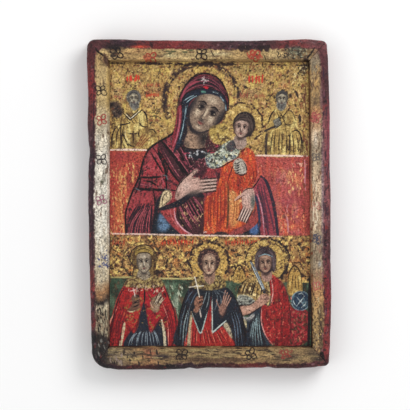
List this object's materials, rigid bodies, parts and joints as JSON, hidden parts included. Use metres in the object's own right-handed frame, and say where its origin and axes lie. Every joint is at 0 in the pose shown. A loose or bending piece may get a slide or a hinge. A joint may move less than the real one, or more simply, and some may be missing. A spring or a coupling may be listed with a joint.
{
  "type": "icon panel",
  "caption": "Painted wooden icon on a worn board with a raised mitred border round a sunk picture field; it lies on its back and displays a devotional picture.",
  "frame": {"origin": "centre of the outline in the plane of the flat back, on which the panel lies", "axes": "+X to the picture's right as a viewer sees it, +Y to the picture's top, +Z out of the painted front"},
  "size_m": [0.245, 0.331, 0.027],
  "materials": {
    "painted_board": "tempera on gesso under old varnish in front, red-painted worn edges, bare aged wood behind",
    "painted_border": "worn gold-ochre paint on gesso with a red outer edge"
  },
  "bodies": {
    "root": {"panel_board": "painted_board", "frame_top": "painted_border", "frame_bottom": "painted_border", "frame_left": "painted_border", "frame_right": "painted_border"}
  },
  "joints": []
}
